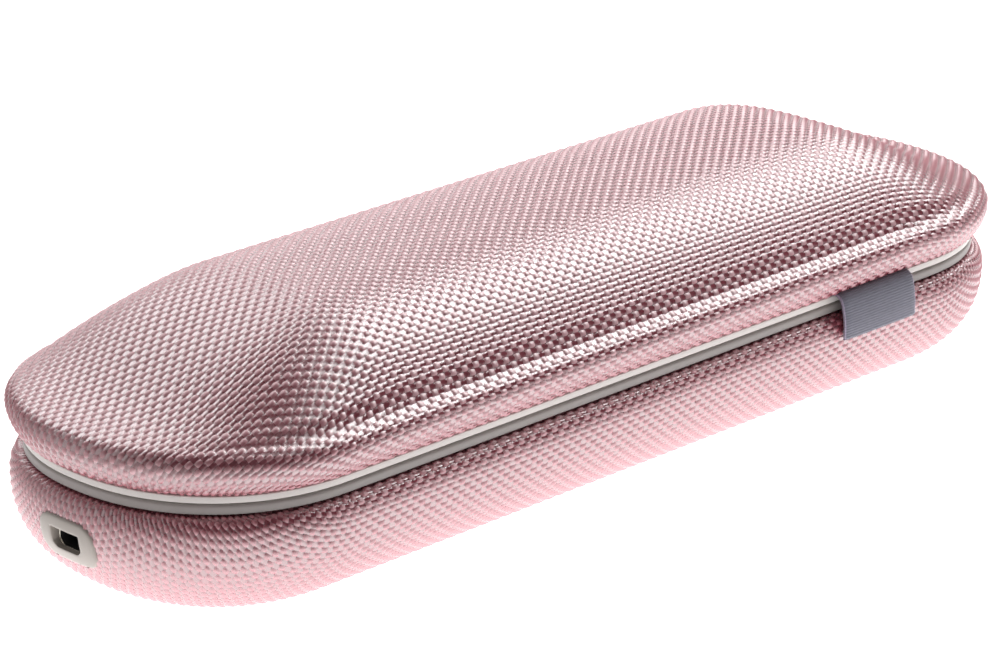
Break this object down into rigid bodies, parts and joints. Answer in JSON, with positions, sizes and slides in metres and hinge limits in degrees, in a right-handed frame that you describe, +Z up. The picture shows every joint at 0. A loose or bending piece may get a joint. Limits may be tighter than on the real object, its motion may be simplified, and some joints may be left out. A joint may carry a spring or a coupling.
{
  "type": "toothbrush travel case",
  "caption": "Hinged pill-shaped travel case with a woven cover, a domed lid, a handle cradle with a built-in charger, recesses for brush heads, a pull tab and a charging socket in one end.",
  "frame": {"origin": "middle of the case's flat bottom", "axes": "+X along the case, away from the charging socket; +Y towards the hinge; +Z up through the lid"},
  "size_m": [0.2218, 0.0718, 0.0486],
  "materials": {
    "woven_cover": "plain weave of thick glossy nylon yarn, pink",
    "tab_ribbon": "ribbed grey woven ribbon",
    "rim_plastic": "satin moulded, warm light grey",
    "shell_plastic": "moulded, grey",
    "tray_plastic": "fine matt moulded, warm light grey",
    "port_plastic": "satin moulded, warm light grey",
    "black_plastic": "moulded, black",
    "steel": "drawn and turned",
    "plated_steel": "nickel plated",
    "copper": "enamelled copper wire",
    "ferrite": "sintered, dark grey",
    "board": "green solder mask on laminate",
    "lead_sleeve": "insulated wire"
  },
  "bodies": {
    "base": {"base_fabric": "woven_cover", "base_shell": "shell_plastic", "base_rim": "rim_plastic", "base_tray": "tray_plastic", "tray_screw_1": "steel", "tray_screw_2": "steel", "tray_screw_3": "steel", "tray_screw_4": "steel", "charging_hub": "tray_plastic", "hub_cap": "tray_plastic", "coil_bobbin": "black_plastic", "charging_coil": "copper", "ferrite_core": "ferrite", "coil_lead_1": "lead_sleeve", "coil_lead_2": "lead_sleeve", "circuit_board": "board", "driver_chip": "black_plastic", "regulator_chip": "black_plastic", "inductor": "ferrite", "capacitor": "plated_steel", "board_screw_1": "steel", "board_screw_2": "steel", "usb_bezel": "port_plastic", "usb_socket": "plated_steel", "usb_tongue": "black_plastic", "base_magnet_1": "plated_steel", "base_magnet_2": "plated_steel", "hinge_pin_1": "steel", "hinge_pin_2": "steel"},
    "lid": {"lid_fabric": "woven_cover", "lid_shell": "shell_plastic", "lid_rim": "rim_plastic", "lid_liner": "tray_plastic", "lid_magnet_1": "plated_steel", "lid_magnet_2": "plated_steel", "pull_tab": "tab_ribbon"}
  },
  "joints": [
    {"name": "lid_hinge", "type": "hinge", "parent": "base", "child": "lid", "pos_m": [0, 0.0343, 0.0241], "axis": [-1, 0, 0], "range_deg": [0, 110]}
  ]
}
